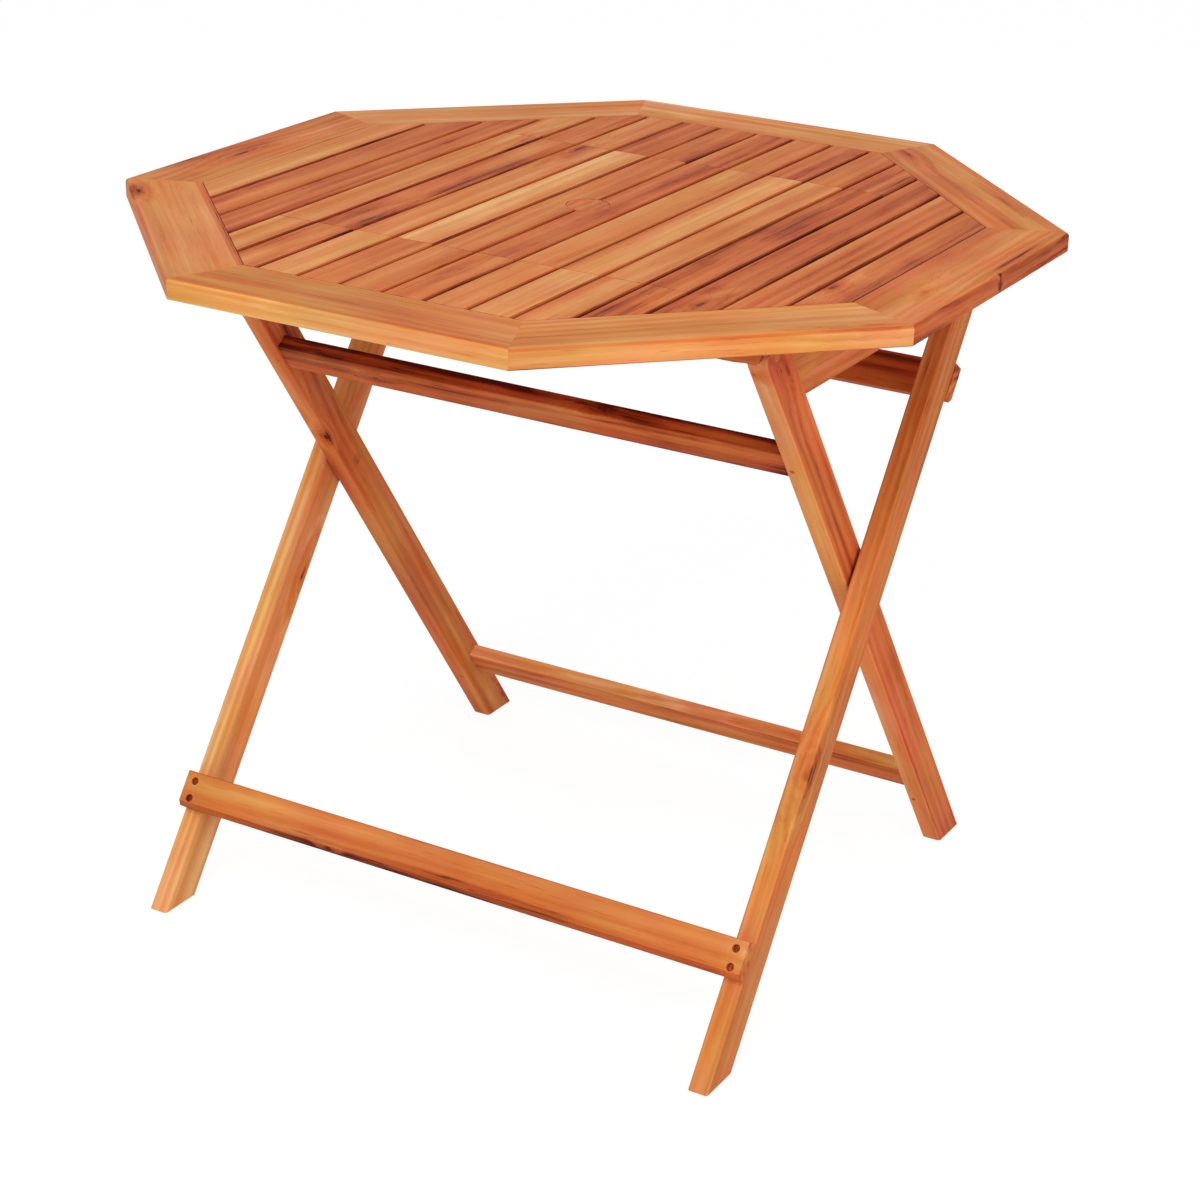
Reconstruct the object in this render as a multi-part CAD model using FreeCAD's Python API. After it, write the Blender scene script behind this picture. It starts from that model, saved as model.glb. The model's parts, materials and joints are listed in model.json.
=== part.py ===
import FreeCAD, Part
import math
import os

V = FreeCAD.Vector

NEAR = 0.01                 # for picking edges by their place
SIDES = 8                   # of the table top
SIDE_TURN = 360 / SIDES
HALF_SIDE = math.pi / SIDES
NUT_SIDES = 6

# Driving sizes of the whole table, in millimetres and degrees
TABLE_HEIGHT = 720.0
TOP_ACROSS = 840.0          # octagon, across its flats
OUTER_SPAN = 647.0          # across the outer faces of the outer legs
OUTER_FOOT_Y = -279.0       # centre of the outer frame's feet on the floor
INNER_FOOT_Y = 295.0
OUTER_LEAN = 35.6           # from upright, leg tops towards the back
INNER_LEAN = 35.4           # from upright, leg tops towards the front

# Table top
BOARD_THICK = 19.0
RIM_WIDTH = 71.0
RIM_ROUND = 4.0
RIM_UNDER_ROUND = 1.5
SLAT_COUNT = 16
SLAT_GAP = 4.0
SLAT_EASE = 1.0
SHOULDER_GAP = 0.8          # between a slat's shoulder and the rim
TONGUE_THICK = 6.0
TONGUE_LENGTH = 8.0
GROOVE_SPARE = 1.0          # the groove is this much deeper than the tongue is long
GROOVE_CLEAR = 0.1          # on each face of the tongue
SPLINE_THICK = 4.0
SPLINE_WIDTH = 24.0
SPLINE_LENGTH = 36.0
SPLINE_CLEAR = 0.1
JOINTED_SLATS = 10          # the middle slats are in three lengths
BUTT_GAP = 0.6

# Battens, cleats and parasol block under the top
BATTEN_THICK = 16.0
END_BATTEN_WIDTH = 30.0
JOINT_BATTEN_WIDTH = 40.0
BATTEN_SPACE = 3.4          # between the front batten and the joint batten behind it
BATTEN_MARGIN = 20.0        # from a batten's end to the rim's outer edge
BATTEN_CHAMFER = 3.0
CLEAT_THICK = 20.0
CLEAT_DEPTH = 96.0
CLEAT_REAR_DEPTH = 30.0
CLEAT_FLAT_TO_Y = 75.0      # the lower edge is level as far back as this
CLEAT_UNDER_PIVOT = 19.0    # drop of the lower edge from the pivot to where it turns down the leg
CLEAT_BACKSET = 10.0        # its slanted end lies this far behind the inner leg's middle line
CLEAT_ROUND = 10.0
DOWEL_R = 4.0
DOWEL_IN_SLAT = 10.0
DOWEL_IN_CLEAT = 16.0
DOWEL_PITCH = 110.0
DOWELS_PER_CLEAT = 3
BLOCK_LENGTH = 110.0
BLOCK_WIDTH = 84.0
BLOCK_THICK = 22.0
BLOCK_CHAMFER = 3.0
PARASOL_BORE_R = 19.5       # takes a 38 mm pole
PLUG_R = 21.0
PLUG_EASE = 1.2
PLUG_CLEAR = 0.3

# Leg frames
LEG_THICK = 21.0            # along the hinge axis
LEG_WIDTH = 40.0
LEG_EASE = 3.0
FRAME_GAP = 2.5             # between an inner and an outer leg
CLEAT_GAP = 1.7             # between an inner leg and its cleat
PIVOT_CLEAR = 7.0           # inner leg's round top below the slats
FRONT_BATTEN_GAP = 17.5     # inner leg's round top behind the front batten
LEG_TOP_CLEAR = 0.4         # outer leg's top below the rim
STOP_CLEAR = 0.3            # outer leg's top in front of the rear batten
RAIL_HEIGHT = 37.0
RAIL_THICK = 15.0
RAIL_CHAMFER = 5.0
RAIL_EASE = 1.5
OUTER_LOWER_AT = 113.0      # centres of the rails, along the leg from the floor
OUTER_UPPER_AT = 706.0
INNER_LOWER_AT = 97.0
INNER_UPPER_AT = 680.5
LOWER_RAIL_BACK_INSET = 5.0  # rail face behind or before the leg's face
UPPER_RAIL_FRONT_INSET = 3.5
TENON_LENGTH = 14.0
TENON_SHOULDER_S = 6.0
TENON_SHOULDER_V = 3.0
MORTISE_CLEAR = 0.1
PIN_R = 2.5
PIN_PAST_TENON = 3.0

# Pivots and screws
BOLT_R = 4.0
BOLT_RUNNING = 0.06         # radial clearance of a bolt that turns in its hole
BOLT_SEAT_CLEAR = 0.02      # radial clearance of a bolt that stays put
BOLT_HEAD_R = 6.5
BOLT_HEAD_DEEP = 5.0
BOLT_COVER_THICK = 3.0      # wooden cover glued in over a bolt's head
BOLT_COVER_SUNK = 0.5       # below the leg's face
BOLT_BLIND_END = 4.0        # wood left over the blind hole
INSERT_R = 6.0
INSERT_LENGTH = 12.0
WASHER_R = 9.0
WASHER_FACE_CLEAR = 0.2     # between a washer and the piece that turns on it
NUT_ACROSS = 13.0
NUT_DEEP = 6.5
NUT_WASHER_THICK = 1.5
BOLT_PAST_NUT = 2.0
SCREW_R = 2.0
SCREW_HEAD_R = 4.0
SCREW_HEAD_DEEP = 3.0
SCREW_CLEAR = 0.05
SCREW_SUNK = 6.0            # board screws lie in holes this deep
SCREW_BITE = 12.0           # length in the wood that the screw holds
BOARD_SCREW_SPREAD = 18.0
BOARD_SCREW_IN = 11.0       # from the board's end
JOINT_SCREW_OFF = 11.0      # from the butt joint

# Places that follow from the sizes above
TOP = TABLE_HEIGHT
UNDER = TOP - BOARD_THICK
OPENING = TOP_ACROSS - 2 * RIM_WIDTH
SLAT_WIDTH = (OPENING - (SLAT_COUNT - 1) * SLAT_GAP) / SLAT_COUNT
SLAT_PITCH = SLAT_WIDTH + SLAT_GAP
TONGUE_LOW = UNDER + (BOARD_THICK - TONGUE_THICK) / 2
OUTER_FACE = OUTER_SPAN / 2
OUTER_INSIDE = OUTER_FACE - LEG_THICK
INNER_FACE = OUTER_INSIDE - FRAME_GAP
INNER_INSIDE = INNER_FACE - LEG_THICK
CLEAT_FACE = INNER_INSIDE - CLEAT_GAP
CLEAT_INSIDE = CLEAT_FACE - CLEAT_THICK
HALF_LEG = LEG_WIDTH / 2
COVER_SEAT = BOLT_COVER_SUNK + BOLT_COVER_THICK     # from the leg's face to the bolt's head
HEAD_SEAT = COVER_SEAT + BOLT_HEAD_DEEP
OUTER_TAN = math.tan(math.radians(OUTER_LEAN))
INNER_TAN = math.tan(math.radians(INNER_LEAN))
OUTER_COS = math.cos(math.radians(OUTER_LEAN))
INNER_COS = math.cos(math.radians(INNER_LEAN))
CROSS_Z = (INNER_FOOT_Y - OUTER_FOOT_Y) / (OUTER_TAN + INNER_TAN)
CROSS_Y = OUTER_FOOT_Y + CROSS_Z * OUTER_TAN
PIVOT_Z = UNDER - PIVOT_CLEAR - HALF_LEG
PIVOT_Y = INNER_FOOT_Y - PIVOT_Z * INNER_TAN
OUTER_END_Z = UNDER - LEG_TOP_CLEAR - HALF_LEG
OUTER_END_Y = OUTER_FOOT_Y + OUTER_END_Z * OUTER_TAN
REAR_BATTEN_Y = OUTER_END_Y + HALF_LEG + STOP_CLEAR
FRONT_BATTEN_Y = PIVOT_Y - HALF_LEG - FRONT_BATTEN_GAP
JOINT_Y = -FRONT_BATTEN_Y - BATTEN_SPACE - JOINT_BATTEN_WIDTH / 2   # where the slats' lengths butt
OCT_CORNER = TOP_ACROSS / math.sqrt(2)     # |x| + |y| on the octagon's slanted sides


def box(x0, x1, y0, y1, z0, z1):
    return Part.makeBox(x1 - x0, y1 - y0, z1 - z0, V(x0, y0, z0))


def prism(points, along):
    face = Part.Face(Part.makePolygon(points + points[:1]))
    return face.extrude(along)


def octagon(across, z0, z1):
    corner_r = across / 2 / math.cos(HALF_SIDE)
    corners = []
    for k in range(SIDES):
        angle = math.radians(SIDE_TURN * (k + 0.5))
        corners.append(V(corner_r * math.cos(angle), corner_r * math.sin(angle), z0))
    return prism(corners, V(0, 0, z1 - z0))


def rod_x(r, x0, x1, y, z):
    return Part.makeCylinder(r, x1 - x0, V(x0, y, z), V(1, 0, 0))


def mirrored(shape):
    return shape.mirror(V(0, 0, 0), V(1, 0, 0))


def both_sides(shape):
    return [shape, mirrored(shape)]


def edges_where(shape, test):
    return [edge for edge in shape.Edges if test(edge.BoundBox)]


def stand(shape, lean, foot_y):
    # A frame is drawn upright, with y behind its middle plane, and then leaned over on its feet.
    leaned = shape.copy()
    leaned.rotate(V(0, 0, 0), V(1, 0, 0), lean)
    leaned.translate(V(0, foot_y, 0))
    return leaned


def stand_outer(shape):
    return stand(shape, -OUTER_LEAN, OUTER_FOOT_Y)


def stand_inner(shape):
    return stand(shape, INNER_LEAN, INNER_FOOT_Y)


def above_floor(shape):
    reach = 2 * TABLE_HEIGHT
    return shape.common(box(-reach, reach, -reach, reach, 0, reach))


def screw(length, clear=0.0):
    # Head up, its flat face at the origin, shank down the -Z axis.
    profile = [V(0, 0, clear), V(SCREW_HEAD_R + clear, 0, clear), V(SCREW_R + clear, 0, -SCREW_HEAD_DEEP),
               V(SCREW_R + clear, 0, -length - clear), V(0, 0, -length - clear)]
    return Part.Face(Part.makePolygon(profile + profile[:1])).revolve(V(0, 0, 0), V(0, 0, 1), 360)


def placed(shape, place, turn_axis=V(1, 0, 0), turn=0.0):
    moved = shape.copy()
    moved.rotate(V(0, 0, 0), turn_axis, turn)
    moved.translate(place)
    return moved


def cut_all(shape, tools):
    return shape.cut(Part.makeCompound(tools)) if tools else shape


def save(name, *shapes):
    solids = []
    for shape in shapes:
        solids += shape.Solids
    whole = solids[0] if len(solids) == 1 else Part.makeCompound(solids)
    whole.exportStep("parts/" + name + ".step")
    print(name, len(solids), "solids", round(whole.Volume / 1000, 1), "cm3")


def spline(clear):
    # One loose tongue across the mitre at the octagon's first corner.
    corner_r = (TOP_ACROSS - RIM_WIDTH) / 2 / math.cos(HALF_SIDE)
    half_length = SPLINE_LENGTH / 2 + clear
    half_width = SPLINE_WIDTH / 2 + clear
    half_thick = SPLINE_THICK / 2 + clear
    middle = (TOP + UNDER) / 2
    tongue = box(corner_r - half_length, corner_r + half_length, -half_width, half_width,
                 middle - half_thick, middle + half_thick)
    return placed(tongue, V(0, 0, 0), V(0, 0, 1), SIDE_TURN / 2)


def eight_round(shape):
    return [placed(shape, V(0, 0, 0), V(0, 0, 1), SIDE_TURN * k) for k in range(SIDES)]


def rim_board():
    # The front board; the others are the same one turned about the middle.
    outside, inside = TOP_ACROSS / 2, OPENING / 2
    half_out = outside * math.tan(HALF_SIDE)
    half_in = inside * math.tan(HALF_SIDE)
    corners = [V(-half_out, -outside, UNDER), V(half_out, -outside, UNDER),
               V(half_in, -inside, UNDER), V(-half_in, -inside, UNDER)]
    board = prism(corners, V(0, 0, BOARD_THICK))
    upper = edges_where(board, lambda b: b.YMax < -outside + NEAR and b.ZMin > TOP - NEAR)
    board = board.makeFillet(RIM_ROUND, upper)
    lower = edges_where(board, lambda b: b.YMax < -outside + NEAR and b.ZMax < UNDER + NEAR)
    board = board.makeFillet(RIM_UNDER_ROUND, lower)
    groove = octagon(OPENING + 2 * (TONGUE_LENGTH + GROOVE_SPARE), TONGUE_LOW - GROOVE_CLEAR,
                     TONGUE_LOW + TONGUE_THICK + GROOVE_CLEAR)
    return cut_all(board, [groove] + eight_round(spline(SPLINE_CLEAR)))


def slat_x(i):
    return -OPENING / 2 + i * SLAT_PITCH


def is_jointed(i):
    return abs(i - (SLAT_COUNT - 1) / 2) < JOINTED_SLATS / 2


def slat(i, fasteners):
    x0, x1 = slat_x(i), slat_x(i) + SLAT_WIDTH
    reach = TOP_ACROSS / 2
    section = [V(x0, -reach, UNDER), V(x1, -reach, UNDER), V(x1, -reach, TOP - SLAT_EASE),
               V(x1 - SLAT_EASE, -reach, TOP), V(x0 + SLAT_EASE, -reach, TOP), V(x0, -reach, TOP - SLAT_EASE)]
    body = prism(section, V(0, 2 * reach, 0)).common(octagon(OPENING - 2 * SHOULDER_GAP, UNDER, TOP))
    side_low = TONGUE_LENGTH if i == 0 else 0.0
    side_high = TONGUE_LENGTH if i == SLAT_COUNT - 1 else 0.0
    tongue = box(x0 - side_low, x1 + side_high, -reach, reach, TONGUE_LOW, TONGUE_LOW + TONGUE_THICK)
    tongue = tongue.common(octagon(OPENING + 2 * TONGUE_LENGTH, UNDER, TOP))
    board = body.fuse(tongue).removeSplitter()
    cuts = list(fasteners)
    if x0 < PLUG_R + PLUG_CLEAR and x1 > -PLUG_R - PLUG_CLEAR:
        cuts.append(Part.makeCylinder(PLUG_R + PLUG_CLEAR, BOARD_THICK, V(0, 0, UNDER)))
    if is_jointed(i):
        for y in (-JOINT_Y, JOINT_Y):
            cuts.append(box(x0, x1, y - BUTT_GAP / 2, y + BUTT_GAP / 2, UNDER, TOP))
    return cut_all(board, cuts)


def batten(y0, y1, half_length):
    low = UNDER - BATTEN_THICK
    board = box(-half_length, half_length, y0, y1, low, UNDER)
    under_edges = edges_where(board, lambda b: b.ZMax < low + NEAR)
    return board.makeChamfer(BATTEN_CHAMFER, under_edges)


def end_batten_reach(y):
    return OCT_CORNER - abs(y) - BATTEN_MARGIN * math.sqrt(2)


def batten_rows():
    # Each row of screws: its y place and which slats it catches.
    front_mid = FRONT_BATTEN_Y - END_BATTEN_WIDTH / 2
    rear_mid = REAR_BATTEN_Y + END_BATTEN_WIDTH / 2
    jointed = [i for i in range(SLAT_COUNT) if is_jointed(i)]
    rows = [(front_mid, jointed[::2]), (rear_mid, jointed[::2])]
    for side in (-1, 1):
        for off in (-JOINT_SCREW_OFF, JOINT_SCREW_OFF):
            rows.append((side * JOINT_Y + off, jointed))
    return rows


def batten_screws(clear):
    # Listed by slat, heads flush with the battens' undersides.
    by_slat = {i: [] for i in range(SLAT_COUNT)}
    one = placed(screw(BATTEN_THICK + SCREW_BITE, clear), V(0, 0, 0), V(1, 0, 0), 180)
    for y, slats in batten_rows():
        for i in slats:
            by_slat[i].append(placed(one, V(slat_x(i) + SLAT_WIDTH / 2, y, UNDER - BATTEN_THICK)))
    return by_slat


def block_screws(clear):
    one = placed(screw(BLOCK_THICK + SCREW_BITE, clear), V(0, 0, 0), V(1, 0, 0), 180)
    x = SLAT_GAP / 2 + SLAT_WIDTH / 2
    y = (BLOCK_LENGTH / 2 + PARASOL_BORE_R) / 2
    return [placed(one, V(sx * x, sy * y, UNDER - BLOCK_THICK)) for sx in (-1, 1) for sy in (-1, 1)]


def parasol_block():
    low = UNDER - BLOCK_THICK
    block = box(-BLOCK_WIDTH / 2, BLOCK_WIDTH / 2, -BLOCK_LENGTH / 2, BLOCK_LENGTH / 2, low, UNDER)
    block = block.makeChamfer(BLOCK_CHAMFER, edges_where(block, lambda b: b.ZMax < low + NEAR))
    bore = Part.makeCylinder(PARASOL_BORE_R, BLOCK_THICK, V(0, 0, low))
    return cut_all(block, [bore] + block_screws(SCREW_CLEAR))


def parasol_plug():
    plug = Part.makeCylinder(PLUG_R, BOARD_THICK, V(0, 0, UNDER))
    return plug.makeFillet(PLUG_EASE, edges_where(plug, lambda b: b.ZMin > TOP - NEAR))


def cleat_slat():
    # The slat that carries the cleat's dowels: the outermost one over the cleat.
    return int((CLEAT_FACE - DOWEL_R - slat_x(0)) // SLAT_PITCH)


def cleat_dowels(clear):
    x = (max(CLEAT_INSIDE, slat_x(cleat_slat())) + CLEAT_FACE) / 2
    first = -DOWEL_PITCH * (DOWELS_PER_CLEAT - 1) / 2
    dowels = []
    for k in range(DOWELS_PER_CLEAT):
        low = V(x, first + k * DOWEL_PITCH, UNDER - DOWEL_IN_CLEAT - clear)
        dowels.append(Part.makeCylinder(DOWEL_R + clear, DOWEL_IN_CLEAT + DOWEL_IN_SLAT + 2 * clear, low))
    return dowels


def behind_inner_leg(z):
    return INNER_FOOT_Y - z * INNER_TAN + CLEAT_BACKSET


def cleat():
    # The right-hand one: a nose round the pivot, then slanted like the leg, and rising again at the back.
    low = UNDER - CLEAT_DEPTH
    knee = PIVOT_Z - CLEAT_UNDER_PIVOT
    low_front_y = behind_inner_leg(low)
    side_view = [(FRONT_BATTEN_Y, UNDER), (FRONT_BATTEN_Y, PIVOT_Z), (behind_inner_leg(knee), knee),
                 (low_front_y, low), (CLEAT_FLAT_TO_Y, low), (REAR_BATTEN_Y, UNDER - CLEAT_REAR_DEPTH),
                 (REAR_BATTEN_Y, UNDER)]
    board = prism([V(CLEAT_INSIDE, y, z) for y, z in side_view], V(CLEAT_THICK, 0, 0))
    corner = edges_where(board, lambda b: b.ZMax < low + NEAR and b.YMax < low_front_y + NEAR)
    board = board.makeFillet(CLEAT_ROUND, corner)
    hole = rod_x(BOLT_R + BOLT_RUNNING, CLEAT_INSIDE, CLEAT_FACE, PIVOT_Y, PIVOT_Z)
    return cut_all(board, [hole] + cleat_dowels(SCREW_CLEAR))


def leg_blank(x0, end_s):
    # Upright: flat foot below the floor, round top about end_s, all long edges eased.
    foot_s = -LEG_WIDTH
    points = [V(x0, -HALF_LEG, foot_s), V(x0, -HALF_LEG, end_s), V(x0, 0, end_s + HALF_LEG),
              V(x0, HALF_LEG, end_s), V(x0, HALF_LEG, foot_s)]
    outline = [Part.LineSegment(points[0], points[1]).toShape(),
               Part.Arc(points[1], points[2], points[3]).toShape(),
               Part.LineSegment(points[3], points[4]).toShape(),
               Part.LineSegment(points[4], points[0]).toShape()]
    blank = Part.Face(Part.Wire(outline)).extrude(V(LEG_THICK, 0, 0))
    long_edges = edges_where(blank, lambda b: b.XLength < NEAR and b.ZMax > foot_s + NEAR)
    return blank.makeFillet(LEG_EASE, long_edges)


def blind_bolt_end():
    return OUTER_FACE - BOLT_BLIND_END


def outer_leg():
    # The right-hand one, with a blind hole for the crossing bolt and its insert.
    blank = leg_blank(OUTER_INSIDE, OUTER_END_Z / OUTER_COS)
    leg = above_floor(stand_outer(cut_all(blank, board_screws(SCREW_CLEAR))))
    hole = rod_x(BOLT_R + BOLT_RUNNING, OUTER_INSIDE, blind_bolt_end(), CROSS_Y, CROSS_Z)
    seat = rod_x(INSERT_R, blind_bolt_end() - INSERT_LENGTH, blind_bolt_end(), CROSS_Y, CROSS_Z)
    return cut_all(leg, [hole, seat])


def insert_nut():
    end = blind_bolt_end()
    sleeve = rod_x(INSERT_R, end - INSERT_LENGTH, end, CROSS_Y, CROSS_Z)
    return sleeve.cut(rod_x(BOLT_R + BOLT_RUNNING, end - INSERT_LENGTH, end, CROSS_Y, CROSS_Z))


def board_blank(v0, at):
    # A cross board the full width of the outer frame, its lower edge away from the legs bevelled.
    low, high = at - RAIL_HEIGHT / 2, at + RAIL_HEIGHT / 2
    board = box(-OUTER_FACE, OUTER_FACE, v0, v0 + RAIL_THICK, low, high)
    face = v0 if v0 < 0 else v0 + RAIL_THICK
    on_face = lambda b: abs(b.YMin - face) < NEAR and b.YLength < NEAR
    board = board.makeChamfer(RAIL_CHAMFER, edges_where(board, lambda b: on_face(b) and b.ZMax < low + NEAR))
    return board.makeFillet(RAIL_EASE, edges_where(board, lambda b: on_face(b) and b.ZMin > high - NEAR))


def board_screws(clear):
    # Upright places: the lower board is screwed from the front, the upper one from the back.
    length = RAIL_THICK - SCREW_SUNK + SCREW_BITE
    from_front = placed(screw(length, clear), V(0, 0, 0), V(1, 0, 0), 90)
    from_back = placed(screw(length, clear), V(0, 0, 0), V(1, 0, 0), -90)
    depth = HALF_LEG + RAIL_THICK - SCREW_SUNK
    screws = []
    for x in (OUTER_FACE - BOARD_SCREW_IN, -OUTER_FACE + BOARD_SCREW_IN):
        for off in (-BOARD_SCREW_SPREAD / 2, BOARD_SCREW_SPREAD / 2):
            screws.append(placed(from_front, V(x, -depth, OUTER_LOWER_AT + off)))
            screws.append(placed(from_back, V(x, depth, OUTER_UPPER_AT + off)))
    return screws


def screw_wells():
    # The open holes over the sunk heads.
    well_r = SCREW_HEAD_R + SCREW_CLEAR
    reach = HALF_LEG + RAIL_THICK
    wells = []
    for x in (OUTER_FACE - BOARD_SCREW_IN, -OUTER_FACE + BOARD_SCREW_IN):
        for off in (-BOARD_SCREW_SPREAD / 2, BOARD_SCREW_SPREAD / 2):
            lower, upper = V(x, -reach, OUTER_LOWER_AT + off), V(x, reach, OUTER_UPPER_AT + off)
            wells.append(Part.makeCylinder(well_r, SCREW_SUNK, lower, V(0, 1, 0)))
            wells.append(Part.makeCylinder(well_r, SCREW_SUNK, upper, V(0, -1, 0)))
    return wells


def outer_board(v0, at):
    return stand_outer(cut_all(board_blank(v0, at), board_screws(SCREW_CLEAR) + screw_wells()))


def lower_rail_v():
    return HALF_LEG - LOWER_RAIL_BACK_INSET - RAIL_THICK


def upper_rail_v():
    return -HALF_LEG + UPPER_RAIL_FRONT_INSET


def tenon(v0, at, clear):
    # The right-hand end of a rail, as it sits in the leg.
    half_height = RAIL_HEIGHT / 2 - TENON_SHOULDER_S + clear
    return box(INNER_INSIDE, INNER_INSIDE + TENON_LENGTH + clear,
               v0 + TENON_SHOULDER_V - clear, v0 + RAIL_THICK - TENON_SHOULDER_V + clear,
               at - half_height, at + half_height)


def rail_pin(v0, at, clear):
    # Driven from the leg's front face through the tenon.
    x = INNER_INSIDE + TENON_LENGTH / 2
    end = v0 + RAIL_THICK + PIN_PAST_TENON
    return Part.makeCylinder(PIN_R + clear, end + HALF_LEG + clear, V(x, -HALF_LEG, at), V(0, 1, 0))


def rail_places():
    return [(lower_rail_v(), INNER_LOWER_AT), (upper_rail_v(), INNER_UPPER_AT)]


def inner_rail(v0, at):
    low, high = at - RAIL_HEIGHT / 2, at + RAIL_HEIGHT / 2
    rail = box(-INNER_INSIDE, INNER_INSIDE, v0, v0 + RAIL_THICK, low, high)
    front_low = edges_where(rail, lambda b: b.ZMax < low + NEAR and b.YMax < v0 + NEAR)
    rail = rail.makeChamfer(RAIL_CHAMFER, front_low)
    front_high = edges_where(rail, lambda b: b.ZMin > high - NEAR and b.YMax < v0 + NEAR)
    rail = rail.makeFillet(RAIL_EASE, front_high)
    rail = rail.fuse(both_sides(tenon(v0, at, 0.0))).removeSplitter()
    return stand_inner(cut_all(rail, both_sides(rail_pin(v0, at, MORTISE_CLEAR))))


def inner_leg():
    # The right-hand one, with mortises, pin holes and the seats of both pivot bolts.
    blank = leg_blank(INNER_INSIDE, PIVOT_Z / INNER_COS)
    holes = []
    for v0, at in rail_places():
        holes.append(tenon(v0, at, MORTISE_CLEAR))
        holes.append(rail_pin(v0, at, SCREW_CLEAR))
    leg = above_floor(stand_inner(cut_all(blank, holes)))
    shank = BOLT_R + BOLT_SEAT_CLEAR
    head = BOLT_HEAD_R + BOLT_SEAT_CLEAR
    bolt_holes = [rod_x(shank, INNER_INSIDE, INNER_FACE, CROSS_Y, CROSS_Z),
                  rod_x(head, INNER_INSIDE, INNER_INSIDE + HEAD_SEAT, CROSS_Y, CROSS_Z),
                  rod_x(shank, INNER_INSIDE, INNER_FACE, PIVOT_Y, PIVOT_Z),
                  rod_x(head, INNER_FACE - HEAD_SEAT, INNER_FACE, PIVOT_Y, PIVOT_Z)]
    return cut_all(leg, bolt_holes)


def crossing_bolt():
    head_end = INNER_INSIDE + HEAD_SEAT
    head = rod_x(BOLT_HEAD_R, INNER_INSIDE + COVER_SEAT, head_end, CROSS_Y, CROSS_Z)
    shank = rod_x(BOLT_R, head_end, blind_bolt_end() - WASHER_FACE_CLEAR, CROSS_Y, CROSS_Z)
    return head.fuse(shank)


def crossing_cover():
    return rod_x(BOLT_HEAD_R, INNER_INSIDE + BOLT_COVER_SUNK, INNER_INSIDE + COVER_SEAT, CROSS_Y, CROSS_Z)


def ring_x(outer_r, x0, x1, y, z):
    return rod_x(outer_r, x0, x1, y, z).cut(rod_x(BOLT_R + BOLT_SEAT_CLEAR, x0, x1, y, z))


def crossing_washer():
    return ring_x(WASHER_R, INNER_FACE, OUTER_INSIDE - WASHER_FACE_CLEAR, CROSS_Y, CROSS_Z)


def nut_washer_face():
    return CLEAT_INSIDE - WASHER_FACE_CLEAR


def top_washers():
    between = ring_x(WASHER_R, CLEAT_FACE + WASHER_FACE_CLEAR, INNER_INSIDE, PIVOT_Y, PIVOT_Z)
    face = nut_washer_face()
    return [between, ring_x(WASHER_R, face - NUT_WASHER_THICK, face, PIVOT_Y, PIVOT_Z)]


def top_nut():
    face = nut_washer_face() - NUT_WASHER_THICK
    corner_r = NUT_ACROSS / 2 / math.cos(math.pi / NUT_SIDES)
    corners = []
    for k in range(NUT_SIDES):
        angle = 2 * math.pi * k / NUT_SIDES
        corners.append(V(face - NUT_DEEP, corner_r * math.cos(angle), corner_r * math.sin(angle)))
    nut = placed(prism(corners, V(NUT_DEEP, 0, 0)), V(0, PIVOT_Y, PIVOT_Z))
    return nut.cut(rod_x(BOLT_R + BOLT_SEAT_CLEAR, face - NUT_DEEP, face, PIVOT_Y, PIVOT_Z))


def top_bolt():
    end = nut_washer_face() - NUT_WASHER_THICK - NUT_DEEP - BOLT_PAST_NUT
    head_start = INNER_FACE - HEAD_SEAT
    head = rod_x(BOLT_HEAD_R, head_start, INNER_FACE - COVER_SEAT, PIVOT_Y, PIVOT_Z)
    return head.fuse(rod_x(BOLT_R, end, head_start, PIVOT_Y, PIVOT_Z))


def top_cover():
    return rod_x(BOLT_HEAD_R, INNER_FACE - COVER_SEAT, INNER_FACE - BOLT_COVER_SUNK, PIVOT_Y, PIVOT_Z)


def save_pair(name, right):
    save("right_" + name, right)
    save("left_" + name, mirrored(right))


def save_both(name, right_solids):
    group = []
    for solid in right_solids:
        group += both_sides(solid)
    save(name, *group)


os.makedirs("parts", exist_ok=True)

# Table top: rim, slats and what holds them together
RIM_SIDES = ["front", "front_right", "right", "back_right", "back", "back_left", "left", "front_left"]
for side, board in zip(RIM_SIDES, eight_round(rim_board())):
    save("rim_" + side, board)
save("rim_splines", *eight_round(spline(0.0)))
screw_holes = batten_screws(SCREW_CLEAR)
dowel_slat = cleat_slat()
dowel_holes = cleat_dowels(SCREW_CLEAR)
for i in range(SLAT_COUNT):
    holes = list(screw_holes[i])
    if i == dowel_slat:
        holes += dowel_holes
    if i == SLAT_COUNT - 1 - dowel_slat:
        holes += [mirrored(hole) for hole in dowel_holes]
    if i in (SLAT_COUNT // 2 - 1, SLAT_COUNT // 2):
        holes += block_screws(SCREW_CLEAR)
    save("slat_%02d" % (i + 1), slat(i, holes))

# Under the top
every_hole = [hole for holes in screw_holes.values() for hole in holes]
front_reach = end_batten_reach(FRONT_BATTEN_Y - END_BATTEN_WIDTH)
rear_reach = end_batten_reach(REAR_BATTEN_Y + END_BATTEN_WIDTH)
half_joint = JOINT_BATTEN_WIDTH / 2
BATTENS = {"front_batten": (FRONT_BATTEN_Y - END_BATTEN_WIDTH, FRONT_BATTEN_Y, front_reach),
           "front_joint_batten": (-JOINT_Y - half_joint, -JOINT_Y + half_joint, CLEAT_INSIDE),
           "rear_joint_batten": (JOINT_Y - half_joint, JOINT_Y + half_joint, CLEAT_INSIDE),
           "rear_batten": (REAR_BATTEN_Y, REAR_BATTEN_Y + END_BATTEN_WIDTH, rear_reach)}
for name, (y0, y1, reach) in BATTENS.items():
    save(name, cut_all(batten(y0, y1, reach), every_hole))
save("batten_screws", *[one for screws in batten_screws(0.0).values() for one in screws])
save_pair("cleat", cleat())
save_both("cleat_dowels", cleat_dowels(0.0))
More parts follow.
